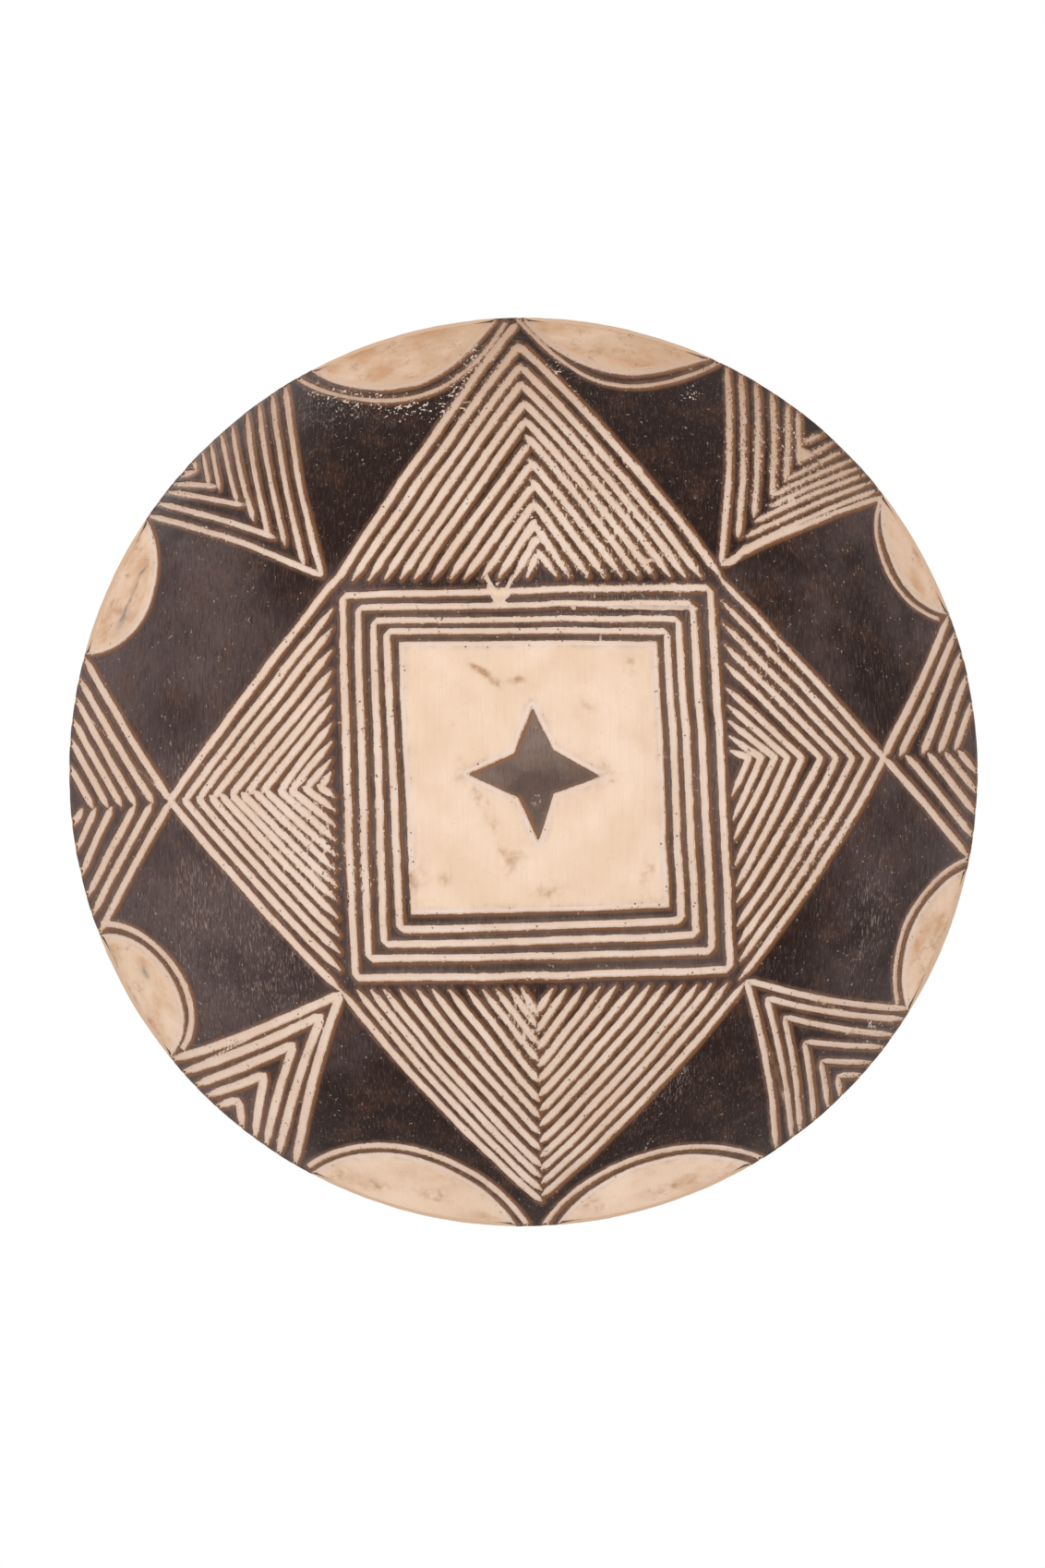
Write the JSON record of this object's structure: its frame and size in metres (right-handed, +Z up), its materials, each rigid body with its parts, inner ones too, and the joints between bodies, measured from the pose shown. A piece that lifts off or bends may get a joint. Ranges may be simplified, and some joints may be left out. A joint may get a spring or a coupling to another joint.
{
  "type": "carved wooden bowl",
  "caption": "Wide shallow hand-carved wooden bowl, blackened outside, with chevron fans, a nested square and a star cut through to the pale wood.",
  "frame": {"origin": "centre of the flat underside that the bowl stands on", "axes": "+Z up through the mouth, the bowl's axis; -Y towards the front triangle of the carving, +X to its right as seen from below"},
  "size_m": [0.5387, 0.5387, 0.144],
  "materials": {
    "pale_wood": "bare cut wood, fine grain, brown stains",
    "blackened_wood": "burnt black, faint grain, low sheen",
    "blackened_bands": "burnt black, faint grain, low sheen",
    "brown_ridges": "burnt brown-black, thin and worn",
    "worn_star": "blackened, worn grey where it rests",
    "dark_lip": "dark, worn pale in places"
  },
  "bodies": {
    "root": {"back_chevrons": "blackened_wood", "back_left_corner_chevrons": "blackened_wood", "back_left_panel": "blackened_wood", "back_right_corner_chevrons": "blackened_wood", "back_right_panel": "blackened_wood", "bowl_body": "pale_wood", "centre_star": "worn_star", "front_chevrons": "blackened_wood", "front_left_corner_chevrons": "blackened_wood", "front_left_panel": "blackened_wood", "front_right_corner_chevrons": "blackened_wood", "front_right_panel": "blackened_wood", "left_back_panel": "blackened_wood", "left_chevrons": "blackened_wood", "left_front_panel": "blackened_wood", "left_rim_chevrons": "blackened_wood", "right_back_panel": "blackened_wood", "right_chevrons": "blackened_wood", "right_front_panel": "blackened_wood", "right_rim_chevrons": "blackened_wood", "rim_lip": "dark_lip", "scallop_ridges": "brown_ridges", "square_bands": "blackened_bands"}
  },
  "joints": []
}
